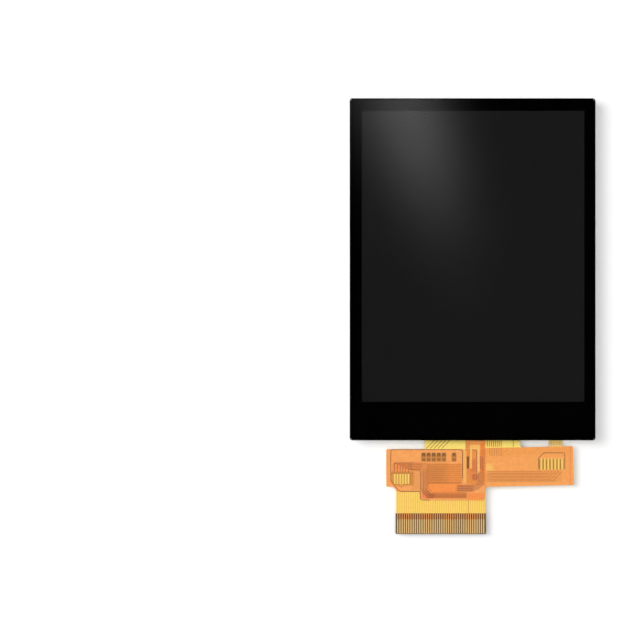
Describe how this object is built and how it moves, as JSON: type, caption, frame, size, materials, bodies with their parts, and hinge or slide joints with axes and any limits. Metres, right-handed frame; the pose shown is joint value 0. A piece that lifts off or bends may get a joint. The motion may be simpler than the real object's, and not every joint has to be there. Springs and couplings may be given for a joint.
{
  "type": "tft display module",
  "caption": "Portrait colour display module: bonded touch glass, edge-lit backlight in a steel tray, and flexible circuits that end in a flat contact tail.",
  "frame": {"origin": "on the rear tray's outer face, behind the middle of the cover glass", "axes": "+X to the right across the screen as seen from the front, +Y up the screen away from the contact tail, +Z out of the screen's face"},
  "size_m": [0.0556, 0.0987, 0.0041],
  "materials": {
    "cover_glass": "polished, with a ground edge",
    "border_ink": "smooth black ink behind glass",
    "clear_adhesive": "clear, gloss",
    "sensor_film": "clear, gloss",
    "black_foam": "matte, fine cells",
    "polariser": "smooth, dark",
    "cell_glass": "polished, cut edges",
    "chip": "polished silicon",
    "black_tape": "matte",
    "optical_film": "satin, fine ribs",
    "clear_acrylic": "clear, fine dots behind",
    "white_film": "white, gloss",
    "lamp_body": "white body with a yellow window",
    "moulding": "satin, moulded",
    "steel_sheet": "rolled, satin",
    "yellow_film": "smooth polyimide film",
    "orange_film": "smooth polyimide film over copper",
    "red_film": "smooth polyimide film over copper",
    "covered_copper": "copper under film",
    "plated_contact": "gold plated, satin",
    "solder": "gold plated, satin",
    "stiffener": "dark amber laminate",
    "ceramic_part": "matte ceramic with tinned ends",
    "chip_package": "moulded black",
    "paper_tape": "adhesive tape"
  },
  "bodies": {
    "root": {"cover_glass": "cover_glass", "border_print": "border_ink", "sensor_adhesive": "clear_adhesive", "touch_sensor": "sensor_film", "panel_gasket": "black_foam", "front_polariser": "polariser", "colour_filter_glass": "cell_glass", "array_glass": "cell_glass", "driver_chip": "chip", "rear_polariser": "polariser", "rim_tape": "black_tape", "upper_prism_film": "optical_film", "lower_prism_film": "optical_film", "diffuser_film": "optical_film", "light_guide": "clear_acrylic", "reflector_film": "white_film", "lamp_flex": "orange_film", "lamps": "lamp_body", "backlight_frame": "moulding", "rear_tray": "steel_sheet", "display_flex": "yellow_film", "display_flex_cover": "orange_film", "neck_tracks": "covered_copper", "tail_tracks": "covered_copper", "arm_tracks": "covered_copper", "contact_fingers": "plated_contact", "tail_stiffener": "stiffener", "lamp_pads": "solder", "flex_capacitors": "ceramic_part", "touch_flex": "red_film", "touch_tracks": "covered_copper", "touch_pads": "solder", "flex_tape": "paper_tape", "touch_controller": "chip_package", "touch_capacitors": "ceramic_part"}
  },
  "joints": []
}
